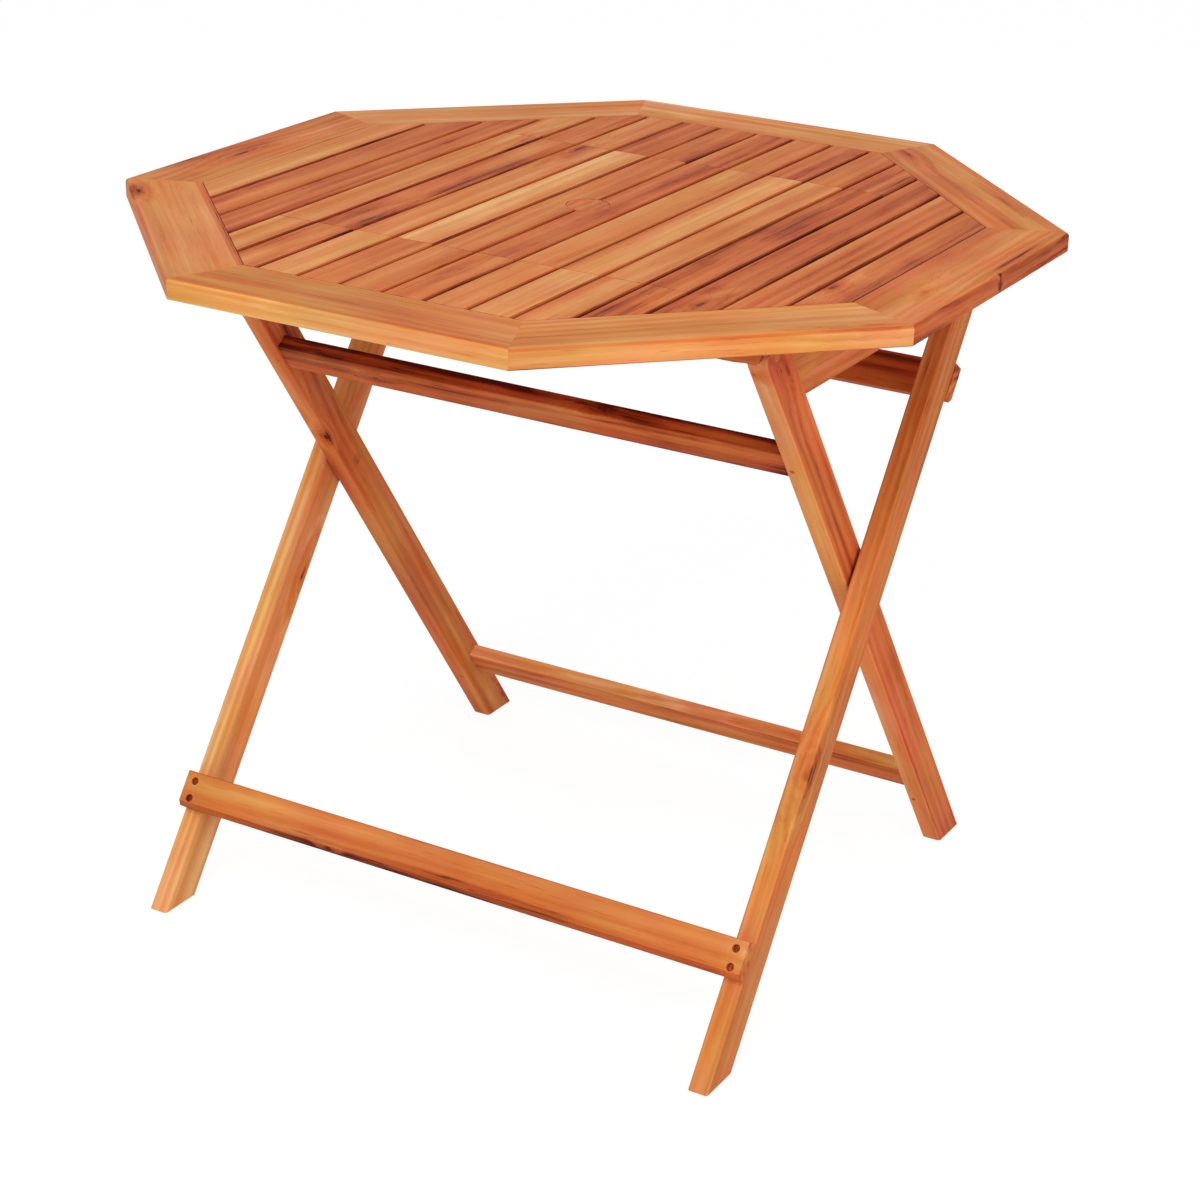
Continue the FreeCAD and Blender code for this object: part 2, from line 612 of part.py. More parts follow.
save("parasol_block", parasol_block())
save("block_screws", *block_screws(0.0))
save("parasol_plug", parasol_plug())

# Inner leg frame and its pivots
save_pair("inner_leg", inner_leg())
save("inner_lower_rail", inner_rail(lower_rail_v(), INNER_LOWER_AT))
save("inner_upper_rail", inner_rail(upper_rail_v(), INNER_UPPER_AT))
save_both("rail_pins", [stand_inner(rail_pin(v0, at, 0.0)) for v0, at in rail_places()])
save_pair("crossing_bolt", crossing_bolt())
save_both("crossing_covers", [crossing_cover()])
save_both("crossing_washers", [crossing_washer()])
save_pair("top_bolt", top_bolt())
save_both("top_covers", [top_cover()])
save_both("top_washers", top_washers())
save_both("top_nuts", [top_nut()])

# Outer leg frame
save_pair("outer_leg", outer_leg())
save("outer_lower_board", outer_board(-HALF_LEG - RAIL_THICK, OUTER_LOWER_AT))
save("outer_upper_board", outer_board(HALF_LEG, OUTER_UPPER_AT))
save("board_screws", *[stand_outer(one) for one in board_screws(0.0)])
save_both("insert_nuts", [insert_nut()])
print("crossing", round(CROSS_Y, 2), round(CROSS_Z, 2), "top pivot", round(PIVOT_Y, 2), round(PIVOT_Z, 2))
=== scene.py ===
import bpy
import json
import math
from mathutils import Matrix, Vector

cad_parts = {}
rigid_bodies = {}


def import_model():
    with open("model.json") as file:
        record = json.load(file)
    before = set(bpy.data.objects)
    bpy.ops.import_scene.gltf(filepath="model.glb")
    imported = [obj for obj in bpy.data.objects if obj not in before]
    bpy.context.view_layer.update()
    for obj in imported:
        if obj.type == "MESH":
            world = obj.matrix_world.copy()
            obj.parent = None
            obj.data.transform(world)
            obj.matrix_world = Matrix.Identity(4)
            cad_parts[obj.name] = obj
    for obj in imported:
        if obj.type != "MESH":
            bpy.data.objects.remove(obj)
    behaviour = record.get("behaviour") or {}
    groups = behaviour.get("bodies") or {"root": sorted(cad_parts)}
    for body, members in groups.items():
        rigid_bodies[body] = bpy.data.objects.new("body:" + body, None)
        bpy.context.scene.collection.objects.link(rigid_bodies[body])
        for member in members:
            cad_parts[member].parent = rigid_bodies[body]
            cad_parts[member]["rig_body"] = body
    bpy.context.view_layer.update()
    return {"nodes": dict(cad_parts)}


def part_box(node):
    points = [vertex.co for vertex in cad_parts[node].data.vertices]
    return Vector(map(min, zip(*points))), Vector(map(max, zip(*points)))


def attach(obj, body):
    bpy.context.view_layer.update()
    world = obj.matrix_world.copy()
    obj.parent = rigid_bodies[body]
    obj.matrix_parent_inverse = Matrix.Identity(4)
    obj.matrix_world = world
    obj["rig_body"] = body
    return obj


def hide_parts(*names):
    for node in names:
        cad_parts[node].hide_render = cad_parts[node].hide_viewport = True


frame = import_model()
nodes = frame["nodes"]
print("frame loaded with", len(nodes), "pieces")

toRight, toBack, upward = (1, 0, 0), (0, 1, 0), (0, 0, 1)


# colours are written as they look on screen, 0 to 255, and turned to linear light here
def tint(red, green, blue):
    linear = []
    for value in (red, green, blue):
        share = value / 255
        linear.append(share / 12.92 if share <= 0.04045 else ((share + 0.055) / 1.055) ** 2.4)
    return (*linear, 1.0)


# one node: a feed is a socket to link or a value to set, by place or by name
def addNode(tree, kind, feeds=(), **settings):
    node = tree.nodes.new("ShaderNode" + kind)
    for key, value in settings.items():
        setattr(node, key, value)
    pairs = feeds.items() if isinstance(feeds, dict) else enumerate(feeds)
    for key, feed in pairs:
        if isinstance(feed, bpy.types.NodeSocket):
            tree.links.new(feed, node.inputs[key])
        elif feed is not None:
            node.inputs[key].default_value = feed
    return node


def groupNode(tree, group, feeds):
    return addNode(tree, "Group", feeds, node_tree=group).outputs


def maths(tree, operation, first, second=None, third=None):
    return addNode(tree, "Math", (first, second, third), operation=operation).outputs[0]


def vectorMaths(tree, operation, first, second):
    return addNode(tree, "VectorMath", (first, second), operation=operation).outputs[0]


# value from one range to another, eased at both ends
def eased(tree, value, low, high, toLow=0.0, toHigh=1.0):
    feeds = {"Value": value, "From Min": low, "From Max": high, "To Min": toLow, "To Max": toHigh}
    return addNode(tree, "MapRange", feeds, interpolation_type="SMOOTHSTEP").outputs["Result"]


# fibres run along X, so a noise is pulled out that way
def stretchedNoise(tree, place, alongScale, acrossScale, detail=2.0, roughness=0.5):
    pulled = vectorMaths(tree, "MULTIPLY", place, (alongScale, acrossScale, acrossScale))
    feeds = {"Vector": pulled, "Scale": 1.0, "Detail": detail, "Roughness": roughness}
    return addNode(tree, "TexNoise", feeds).outputs["Fac"]


def newGroup(name, inputs, outputs):
    tree = bpy.data.node_groups.new(name, "ShaderNodeTree")
    for label, kind in inputs:
        tree.interface.new_socket(label, in_out="INPUT", socket_type="NodeSocket" + kind)
    for label, kind in outputs:
        tree.interface.new_socket(label, in_out="OUTPUT", socket_type="NodeSocket" + kind)
    return tree, tree.nodes.new("NodeGroupInput").outputs, tree.nodes.new("NodeGroupOutput").inputs


# oiled acacia: how far along the ramp a board sits is its tone; a noise has its scale along and across
# the grain, then its detail and roughness where they aren't the usual ones
acacia = {
    "ramp": [(0.00, tint(238, 184, 124)), (0.20, tint(224, 152, 93)), (0.40, tint(214, 132, 74)),
             (0.55, tint(206, 117, 63)), (0.70, tint(195, 100, 53)), (0.83, tint(172, 80, 42)),
             (1.00, tint(92, 34, 19))],
    "broadNoise": (1.6, 52.0, 2.0, 0.55), "broadShare": 0.36,
    "fineNoise": (6.0, 210.0, 3.0, 0.6), "fineShare": 0.26,
    "cloudNoise": (9.0, 18.0), "cloudShare": 0.34,
    "heartNoise": (0.9, 24.0), "heartBand": (0.40, 0.60), "heartShare": 0.13,
    "fleckNoise": (24.0, 640.0, 2.0, 0.6), "fleckBand": (0.60, 0.74), "fleckShare": 0.20,
    "ringSpacing": 0.0095, "ringShare": 0.05, "endShade": 0.10,
    "noiseShift": (7.3, 3.1, 5.7),  # how far chance moves a board's noises
    "acrossSpread": 0.10, "depthSpread": 0.06, "leastDepth": 0.012,  # where the tree's middle lay
    "swayNoise": (2.6, 11.0), "swayReach": 0.016, "slantSpread": 0.07,  # how the rings wander
    "goldenNoise": (6.0, 36.0), "honeyNoise": (8.0, 30.0), "castBand": (0.35, 0.65),
    "meanCast": (1.01, 0.985, 0.95),
    "goldenSwing": (-0.061, 0.085, 0.034), "honeySwing": (0.0, 0.0, -0.20),
    "roughness": 0.52, "fineRough": 0.22, "fleckRough": 0.10,
    "fineHeight": 0.8, "ringHeight": 0.12, "fleckHeight": -0.7,
}


def makeAcaciaGrain():
    tree, given, result = newGroup(
        "acaciaGrain",
        [("Place", "Vector"), ("Seed", "Float"), ("Tone", "Float"), ("Figure", "Float"), ("Blush", "Float"),
         ("Gold", "Float"), ("End", "Float"), ("Dark", "Float"), ("Bend", "Float")],
        [("Color", "Color"), ("Roughness", "Float"), ("Height", "Float")])
    # three chance values for each board shift the noises and set where its tree's middle lay
    luck = addNode(tree, "TexWhiteNoise", {"W": given["Seed"]}, noise_dimensions="1D").outputs["Color"]
    chance = addNode(tree, "SeparateColor", (luck,)).outputs
    bent = addNode(tree, "CombineXYZ", (0.0, given["Bend"], given["Bend"])).outputs[0]
    shift = vectorMaths(tree, "MULTIPLY", luck, acacia["noiseShift"])
    moved = vectorMaths(tree, "ADD", vectorMaths(tree, "ADD", given["Place"], shift), bent)

    def noise(name):
        return stretchedNoise(tree, moved, *acacia[name + "Noise"])

    def centredNoise(name):
        return maths(tree, "SUBTRACT", noise(name), 0.5)

    # year rings, slanted and swaying, about the tree's middle
    axes = addNode(tree, "SeparateXYZ", (given["Place"],)).outputs
    slant = maths(tree, "MULTIPLY", maths(tree, "SUBTRACT", chance[0], 0.5), acacia["slantSpread"])
    across = maths(tree, "MULTIPLY_ADD", axes[0], slant, axes[1])
    aside = maths(tree, "MULTIPLY_ADD", chance[1], acacia["acrossSpread"], -acacia["acrossSpread"] / 2)
    across = maths(tree, "ADD", across, aside)
    across = maths(tree, "MULTIPLY_ADD", centredNoise("sway"), acacia["swayReach"], across)
    below = maths(tree, "MULTIPLY_ADD", chance[2], acacia["depthSpread"], acacia["leastDepth"])
    deep = maths(tree, "ADD", axes[2], below)
    deepSquare = maths(tree, "MULTIPLY", deep, deep)
    radius = maths(tree, "SQRT", maths(tree, "MULTIPLY_ADD", across, across, deepSquare))
    radius = maths(tree, "ADD", radius, given["Bend"])
    wave = maths(tree, "SINE", maths(tree, "MULTIPLY", radius, 2 * math.pi / acacia["ringSpacing"]))

    broad, fine, cloud = (centredNoise(name) for name in ("broad", "fine", "cloud"))
    flecks = eased(tree, noise("fleck"), *acacia["fleckBand"])
    heart = eased(tree, noise("heart"), *acacia["heartBand"], -0.5, 0.5)
    golden, honey = (eased(tree, noise(name), *acacia["castBand"], -0.5, 0.5) for name in ("golden", "honey"))

    figure = maths(tree, "MULTIPLY", broad, acacia["broadShare"])
    for streak, name in ((fine, "fine"), (wave, "ring"), (cloud, "cloud"), (heart, "heart")):
        figure = maths(tree, "MULTIPLY_ADD", streak, acacia[name + "Share"], figure)
    value = maths(tree, "MULTIPLY_ADD", figure, given["Figure"], given["Tone"])
    value = maths(tree, "MULTIPLY_ADD", flecks, acacia["fleckShare"], value)
    value = maths(tree, "MULTIPLY_ADD", given["End"], acacia["endShade"], value)
    value = maths(tree, "ADD", value, given["Dark"])
    ramp = addNode(tree, "ValToRGB", (value,))
    bands = ramp.color_ramp.elements
    while len(bands) < len(acacia["ramp"]):
        bands.new(0.5)
    for band, (position, colour) in zip(bands, acacia["ramp"]):
        band.position = position
        band.color = colour

    # streaks swing between rose and gold
    golden = maths(tree, "MULTIPLY_ADD", golden, given["Blush"], given["Gold"])
    honey = maths(tree, "MULTIPLY", honey, given["Blush"])
    cast = acacia["meanCast"]
    for swing, share in (("goldenSwing", golden), ("honeySwing", honey)):
        feeds = (share, acacia[swing], cast)
        cast = addNode(tree, "VectorMath", feeds, operation="MULTIPLY_ADD").outputs[0]
    feeds = {"Factor": 1.0, "A": ramp.outputs["Color"], "B": cast}
    colour = addNode(tree, "Mix", feeds, data_type="RGBA", blend_type="MULTIPLY").outputs["Result"]

    rough = maths(tree, "MULTIPLY_ADD", fine, acacia["fineRough"], acacia["roughness"])
    rough = maths(tree, "MULTIPLY_ADD", flecks, acacia["fleckRough"], rough)
    height = maths(tree, "MULTIPLY", wave, acacia["ringHeight"])
    height = maths(tree, "MULTIPLY_ADD", fine, acacia["fineHeight"], height)
    height = maths(tree, "MULTIPLY_ADD", flecks, acacia["fleckHeight"], height)
    for label, socket in (("Color", colour), ("Roughness", rough), ("Height", height)):
        tree.links.new(socket, result[label])
    return tree


# a knot: a dark eye with a halo and ringlets, drawn out along the grain by Pull, and the rings bent round
# it; its reaches are counted in half widths
knotLook = {
    "throughBoard": 0.35, "raggedScale": 1.1, "raggedDetail": 3.0, "raggedReach": 1.3,
    "core": (0.05, 1.05), "halo": (0.3, 2.8), "haloDepth": 0.45,
    "ringletTurns": 11.0, "ringletDepth": 0.35, "bendReach": 4.0, "bendPush": 4.0,
}


# the same mark, drawn out long, also paints some streaks of shade and light
def makeKnot():
    tree, given, result = newGroup(
        "knot", [("Place", "Vector"), ("Centre", "Vector"), ("Size", "Float"), ("Pull", "Float"),
                 ("Depth", "Float")],
        [("Dark", "Float"), ("Bend", "Float")])
    away = vectorMaths(tree, "SUBTRACT", given["Place"], given["Centre"])
    pull = addNode(tree, "CombineXYZ", (given["Pull"], 1.0, knotLook["throughBoard"])).outputs[0]
    size = addNode(tree, "CombineXYZ", (given["Size"], given["Size"], given["Size"])).outputs[0]
    local = vectorMaths(tree, "DIVIDE", vectorMaths(tree, "MULTIPLY", away, pull), size)
    feeds = {"Vector": local, "Scale": knotLook["raggedScale"], "Detail": knotLook["raggedDetail"]}
    ragged = addNode(tree, "TexNoise", feeds).outputs["Fac"]
    ragged = maths(tree, "MULTIPLY_ADD", ragged, knotLook["raggedReach"], -knotLook["raggedReach"] / 2)
    length = addNode(tree, "VectorMath", (local,), operation="LENGTH").outputs["Value"]
    reach = maths(tree, "ADD", length, ragged)
    core = eased(tree, reach, *knotLook["core"], 1.0, 0.0)
    halo = eased(tree, reach, *knotLook["halo"], knotLook["haloDepth"], 0.0)
    ringlet = maths(tree, "SINE", maths(tree, "MULTIPLY", reach, knotLook["ringletTurns"]))
    ringlet = maths(tree, "MULTIPLY", ringlet, knotLook["ringletDepth"])
    dark = maths(tree, "MULTIPLY_ADD", ringlet, halo, maths(tree, "MAXIMUM", core, halo))
    dark = maths(tree, "MULTIPLY", dark, given["Depth"])
    push = maths(tree, "MULTIPLY", given["Size"], maths(tree, "MAXIMUM", given["Depth"], 0.0))
    push = maths(tree, "MULTIPLY", push, knotLook["bendPush"])
    bend = maths(tree, "MULTIPLY", eased(tree, reach, 0.0, knotLook["bendReach"], 1.0, 0.0), push)
    tree.links.new(dark, result["Dark"])
    tree.links.new(bend, result["Bend"])
    return tree


# one number for each of a slat's three lengths
def makeThreeLengths():
    tree, given, result = newGroup(
        "threeLengths", [("Along", "Float"), ("Joint", "Float"), ("Front", "Float"), ("Middle", "Float"),
                         ("Back", "Float")], [("Value", "Float")])
    isBack = maths(tree, "GREATER_THAN", given["Along"], given["Joint"])
    isFront = maths(tree, "LESS_THAN", given["Along"], maths(tree, "MULTIPLY", given["Joint"], -1.0))
    middleToBack = maths(tree, "SUBTRACT", given["Back"], given["Middle"])
    middleToFront = maths(tree, "SUBTRACT", given["Front"], given["Middle"])
    value = maths(tree, "MULTIPLY_ADD", isBack, middleToBack, given["Middle"])
    value = maths(tree, "MULTIPLY_ADD", isFront, middleToFront, value)
    tree.links.new(value, result["Value"])
    return tree


acaciaGrain = makeAcaciaGrain()
knotAndShadeGroup = makeKnot()
threeLengths = makeThreeLengths()
print("wood node groups made")


def setMaterial(piece, material):
    piece.data.materials.clear()
    piece.data.materials.append(material)


def newMaterial(name):
    material = bpy.data.materials.new(name)
    material.use_nodes = True
    tree = material.node_tree
    return material, tree, tree.nodes["Principled BSDF"]


def middle(node):
    low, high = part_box(node)
    return (low + high) / 2


# how squarely a surface looks along a direction, either way: 1 is square on
def facing(tree, normal, direction):
    dot = addNode(tree, "VectorMath", (normal, direction), operation="DOT_PRODUCT").outputs["Value"]
    return maths(tree, "ABSOLUTE", dot)


tones = {"blond": 0.12, "pale": 0.22, "straw": 0.30, "honey": 0.38, "caramel": 0.45, "amber": 0.53,
         "copper": 0.60, "russet": 0.68, "chestnut": 0.75, "deep": 0.82, "umber": 0.88, "dark": 0.94}
woodFinish = {
    "specular": 0.045, "bumpHeight": 0.00022, "bumpStrength": 0.5,
    # how squarely a face looks decides where the painted side light and shade and the painted corner shade go
    "endGrain": (0.6, 0.95), "sideShadingTurn": (0.72, 0.97), "cornerShadeTurn": (0.05, 0.45),
    "lengthSeeds": {"Front": 0.31, "Middle": 0.0, "Back": 0.67},  # so that a slat's lengths differ
}
slatJoint = middle("rear_joint_batten").y  # the slats' lengths butt over this batten

# knots and streaks, some of them painted shade and painted light as marked: where they are, half width, how
# far pulled along the grain (more as it nears 0, and squeezed past 1), how dark; one below 0 is a paler
# stretch
knotsAndShade = {
    "left_inner_leg": [((-0.280, -0.042, 0.441), 0.0045, 0.50, 0.44),
                       ((-0.279, 0.301, 0.016), 0.007, 0.40, 0.34),
                       # this spot is painted shade under the table top, near the leg's top
                       ((-0.279, -0.104, 0.571), 0.011, 0.25, 0.26)],
    "right_inner_leg": [((0.300, -0.163, 0.655), 0.010, 0.50, 0.22),
                        ((0.283, -0.196, 0.657), 0.003, 0.60, 0.36),
                        ((0.300, 0.105, 0.300), 0.008, 0.06, 0.16)],
    "right_outer_leg": [((0.3235, 0.108, 0.564), 0.007, 0.06, 0.26),
                        ((0.3234, -0.121, 0.250), 0.009, 0.36, 0.34),
                        ((0.323, -0.075, 0.300), 0.003, 0.05, 0.20)],
    "left_outer_leg": [((-0.3025, -0.0575, 0.288), 0.007, 0.30, 0.60),
                       # this spot is painted shade under the table top, near the leg's top
                       ((-0.3025, 0.068, 0.503), 0.010, 0.25, 0.30)],
    "rim_left": [((-0.388, -0.030, 0.72), 0.008, 0.25, 0.36), ((-0.352, 0.055, 0.72), 0.007, 0.12, 0.20),
                 ((-0.415, -0.085, 0.72), 0.004, 0.10, 0.36)],
    "rim_front_left": [((-0.380, -0.205, 0.72), 0.006, 0.42, 0.42),
                       # the thin streak on this line is a painted shadow in the gap along the slat ends
                       ((-0.248, -0.248, 0.72), 0.0022, 0.010, 0.42)],
    "rim_front_right": [((0.391, -0.193, 0.72), 0.005, 0.18, 0.38)],
    "rim_right": [((0.420, 0.011, 0.712), 0.0030, 1.40, 0.44), ((0.4125, 0.050, 0.72), 0.007, 0.05, 0.46),
                  ((0.387, -0.081, 0.72), 0.005, 0.50, 0.24), ((0.380, -0.035, 0.72), 0.004, 0.50, 0.22)],
    "rim_back_right": [((0.326, 0.243, 0.72), 0.003, 0.08, 0.40), ((0.173, 0.360, 0.72), 0.006, 0.30, 0.22)],
    "rim_back": [((-0.140, 0.369, 0.72), 0.005, 0.20, 0.34), ((0.051, 0.414, 0.72), 0.004, 0.06, 0.20)],
    "slat_02": [((-0.285, -0.140, 0.72), 0.030, 0.25, -0.18)],
    "slat_04": [((-0.184, 0.183, 0.72), 0.006, 0.22, 0.36)],
    "slat_05": [((-0.141, -0.168, 0.72), 0.009, 0.22, 0.20), ((-0.138, -0.080, 0.72), 0.007, 0.05, 0.20),
                ((-0.166, -0.240, 0.72), 0.006, 0.08, 0.14)],
    "slat_06": [((-0.119, 0.184, 0.72), 0.008, 0.30, 0.36)],
    "slat_08": [((-0.038, -0.024, 0.72), 0.004, 0.30, 0.18)],
    "slat_09": [((0.019, -0.250, 0.72), 0.005, 0.30, 0.22)],
    "slat_13": [((0.208, 0.0, 0.72), 0.007, 0.015, 0.16)],
    "slat_14": [((0.245, -0.225, 0.72), 0.010, 0.50, 0.24)],
    # the second streak of this slat is a painted shadow in the seam against the right rim
    "slat_16": [((0.317, -0.115, 0.72), 0.008, 0.35, 0.30), ((0.349, 0.0, 0.72), 0.0014, 0.006, 0.36),
                ((0.341, 0.03, 0.72), 0.006, 0.02, 0.18)],
    "outer_lower_board": [((-0.138, -0.249, 0.099), 0.003, 0.45, 0.40),
                          ((0.010, -0.249, 0.094), 0.006, 0.05, 0.30),
                          ((0.323, -0.233, 0.111), 0.018, 1.50, -0.20)],
    # this dark streak is painted shade on the left of the rail's top face
    "inner_upper_rail": [((-0.170, -0.113, 0.545), 0.004, 0.40, 0.30),
                         ((0.0653, -0.1218, 0.558), 0.005, 0.35, -0.24),
                         ((0.0746, -0.1210, 0.560), 0.003, 0.20, 0.24),
                         # this paler stretch is painted light on the right of the rail's top face
                         ((0.200, -0.115, 0.566), 0.012, 0.10, -0.22)],
    "inner_lower_rail": [((0.165, 0.2349, 0.1003), 0.006, 0.055, 0.62),
                         ((0.200, 0.240, 0.078), 0.010, 0.09, -0.14)],
}


# a board's wood: grain along one direction, turned and centred by the mapping; the side tone is painted light
# and shade on the faces that look away from the given one, the corner number how much painted shade darkens
# the rounded corners between (below 0, painted light), figure how strong the streaks are, gold how far the
# whole board leans from rose to gold, and blush how far its streaks do, as a share of figure
def woodMaterial(node, along, face, seed, tone, edge=None, figure=1.0, cornerShade=0.0, gold=0.0, blush=1.0):
    centre = middle(node)
    along, face = Vector(along).normalized(), Vector(face).normalized()
    turn = Matrix((along, face.cross(along), face)).transposed()
    material, tree, shader = newMaterial(node + "_acacia")
    coords = addNode(tree, "TexCoord").outputs
    feeds = {"Vector": coords["Object"], "Location": centre, "Rotation": turn.to_euler()}
    place = addNode(tree, "Mapping", feeds, vector_type="TEXTURE").outputs[0]
    end = eased(tree, facing(tree, coords["Normal"], along), *woodFinish["endGrain"])
    if isinstance(tone, tuple):
        where = {"Along": addNode(tree, "SeparateXYZ", (coords["Object"],)).outputs["Y"], "Joint": slatJoint}
        lengthTones = dict(zip(("Front", "Middle", "Back"), (tones[name] for name in tone)))
        lengthSeeds = {part: seed + shift for part, shift in woodFinish["lengthSeeds"].items()}
        toneFeed = groupNode(tree, threeLengths, {**where, **lengthTones})["Value"]
        seedFeed = groupNode(tree, threeLengths, {**where, **lengthSeeds})["Value"]
    else:
        toneFeed, seedFeed = tones[tone], float(seed)
    # faces that look away from the given one take a tone of painted light and shade, and the rounded corners
    # between them take painted shade
    if edge:
        square = facing(tree, coords["Normal"], face)
        aside = eased(tree, square, *woodFinish["sideShadingTurn"], 1.0, 0.0)
        change = maths(tree, "SUBTRACT", tones[edge], toneFeed)
        toneFeed = maths(tree, "MULTIPLY_ADD", aside, change, toneFeed)
        corner = maths(tree, "MULTIPLY", aside, eased(tree, square, *woodFinish["cornerShadeTurn"]))
        toneFeed = maths(tree, "MULTIPLY_ADD", corner, cornerShade, toneFeed)
    feeds = {"Place": place, "Seed": seedFeed, "Tone": toneFeed, "Figure": figure, "Blush": figure * blush,
             "Gold": gold, "End": end}
    for spot, size, pull, depth in knotsAndShade.get(node, ()):
        spot = turn.transposed() @ (Vector(spot) - centre)
        knotFeeds = {"Place": place, "Centre": spot, "Size": size, "Pull": pull, "Depth": depth}
        knot = groupNode(tree, knotAndShadeGroup, knotFeeds)
        feeds["Dark"] = maths(tree, "ADD", knot["Dark"], feeds.get("Dark", 0.0))
        feeds["Bend"] = maths(tree, "ADD", knot["Bend"], feeds.get("Bend", 0.0))
    wood = groupNode(tree, acaciaGrain, feeds)
    feeds = {"Strength": woodFinish["bumpStrength"], "Distance": woodFinish["bumpHeight"],
             "Height": wood["Height"]}
    bump = addNode(tree, "Bump", feeds)
    tree.links.new(wood["Color"], shader.inputs["Base Color"])
    tree.links.new(wood["Roughness"], shader.inputs["Roughness"])
    tree.links.new(bump.outputs[0], shader.inputs["Normal"])
    shader.inputs["Specular IOR Level"].default_value = woodFinish["specular"]
    setMaterial(nodes[node], material)


# rim boards, counted round from the front
rim = {
    "sides": ["front", "front_right", "right", "back_right", "back", "back_left", "left", "front_left"],
    "tones": ["amber", "caramel", "caramel", "amber", "pale", "caramel", "amber", "caramel"],
    # each board's side tone is painted light and shade, and its corner number is painted shade on the rounded
    # corners, painted light below 0
    "edges": ["straw", "honey", "chestnut", "russet", "amber", "amber", "amber", "amber"],
    "cornerShade": [-0.12, 0.32, 0.02, 0.10, 0.06, 0.06, 0.06, 0.06],
    "gold": [0.9, 0.7, 0.0, 0.0, 0.2, 0.0, 0.4, 0.2],
    "figure": 1.5, "firstSeed": 3,
}
for k, side in enumerate(rim["sides"]):
    turnAngle = 2 * math.pi * k / len(rim["sides"])
    along = (math.cos(turnAngle), math.sin(turnAngle), 0)
    woodMaterial("rim_" + side, along=along, face=upward, seed=rim["firstSeed"] + k, tone=rim["tones"][k],
                 edge=rim["edges"][k], figure=rim["figure"], cornerShade=rim["cornerShade"][k], gold=rim["gold"][k])

# slats from left to right; the middle ones are in three lengths, front to back
slats = {
    "tones": ["honey", "russet", "russet", ("honey", "straw", "caramel"), ("honey", "russet", "amber"),
              ("straw", "caramel", "caramel"), ("amber", "pale", "russet"), ("amber", "amber", "russet"),
              ("amber", "copper", "copper"), ("caramel", "amber", "amber"), ("pale", "honey", "copper"),
              ("caramel", "honey", "amber"), ("copper", "copper", "russet"), "russet", "amber", "russet"],
    # the slats' side tone is painted shade for the gaps between them
    "edge": "chestnut", "firstSeed": 21, "blush": 0.55,
    "figure": 1.3, "lively": {3: 1.4, 4: 1.4, 5: 1.6, 13: 1.7, 15: 1.4, 16: 1.8},  # figure of single slats
}
for k, tone in enumerate(slats["tones"]):
    figure = slats["lively"].get(k + 1, slats["figure"])
    woodMaterial("slat_%02d" % (k + 1), along=toBack, face=upward, seed=slats["firstSeed"] + k, tone=tone,
                 edge=slats["edge"], figure=figure, blush=slats["blush"])
print("table top coloured")

# the two crossing frames lean opposite ways about the hinge axes
outerLean, innerLean = math.radians(35.6), math.radians(-35.4)
outerAlong = (0, math.sin(outerLean), math.cos(outerLean))
innerAlong = (0, math.sin(innerLean), math.cos(innerLean))
outerFront = (0, -math.cos(outerLean), math.sin(outerLean))
innerFront = (0, -math.cos(innerLean), math.sin(innerLean))

# each leg's side tone is painted light and shade on the faces that don't look to the side
legs = {
    "right_outer_leg": {"along": outerAlong, "tone": "copper", "edge": "caramel", "seed": 51, "figure": 1.4,
                        "gold": 0.6},
    "left_outer_leg": {"along": outerAlong, "tone": "pale", "edge": "pale", "seed": 52, "figure": 1.3},
    "right_inner_leg": {"along": innerAlong, "tone": "copper", "edge": "pale", "seed": 57, "figure": 1.3,
                        "gold": -0.8},
    "left_inner_leg": {"along": innerAlong, "tone": "copper", "edge": "caramel", "seed": 54, "figure": 1.5},
    "crossing_covers": {"along": innerAlong, "tone": "copper", "edge": "deep", "seed": 55, "figure": 1.2},
    "top_covers": {"along": innerAlong, "tone": "copper", "edge": "deep", "seed": 56, "figure": 1.2},
}
legBlush = 1.3
for node, look in legs.items():
    woodMaterial(node, face=toRight, blush=legBlush, **look)

# each rail's side tone is painted light and shade on the faces that look away from its given face
rails = {
    "outer_lower_board": {"face": outerFront, "tone": "amber", "edge": "russet", "seed": 61, "figure": 1.3,
                          "gold": 0.5},
    # the upper board's deep tones are painted shade from the table top above it, darker than its wood
    "outer_upper_board": {"face": outerFront, "tone": "deep", "edge": "deep", "seed": 62, "figure": 2.2},
    "inner_lower_rail": {"face": innerFront, "tone": "amber", "edge": "blond", "seed": 63, "figure": 1.6},
    # the upper rail's umber tone and its dark top are painted shade from the table top above it, darker than
    # its wood
    "inner_upper_rail": {"face": innerFront, "tone": "umber", "edge": "dark", "seed": 64, "figure": 1.9},
    "front_batten": {"face": upward, "tone": "russet", "edge": "chestnut", "seed": 65, "figure": 1.4},
    "front_joint_batten": {"face": upward, "tone": "amber", "edge": "copper", "seed": 66, "figure": 1.4},
    "rear_joint_batten": {"face": upward, "tone": "russet", "edge": "chestnut", "seed": 67, "figure": 1.4},
    "rear_batten": {"face": upward, "tone": "amber", "edge": "copper", "seed": 68, "figure": 1.4},
}
for node, look in rails.items():
    woodMaterial(node, along=toRight, **look)

underTop = {
    "right_cleat": {"face": toRight, "tone": "caramel", "seed": 75},
    "left_cleat": {"face": toRight, "tone": "russet", "seed": 76},
    "parasol_block": {"face": upward, "tone": "russet", "seed": 77},
    "parasol_plug": {"face": upward, "tone": "amber", "seed": 79},
}
underFigure = 2.0
for node, look in underTop.items():
    woodMaterial(node, along=toBack, figure=underFigure, **look)

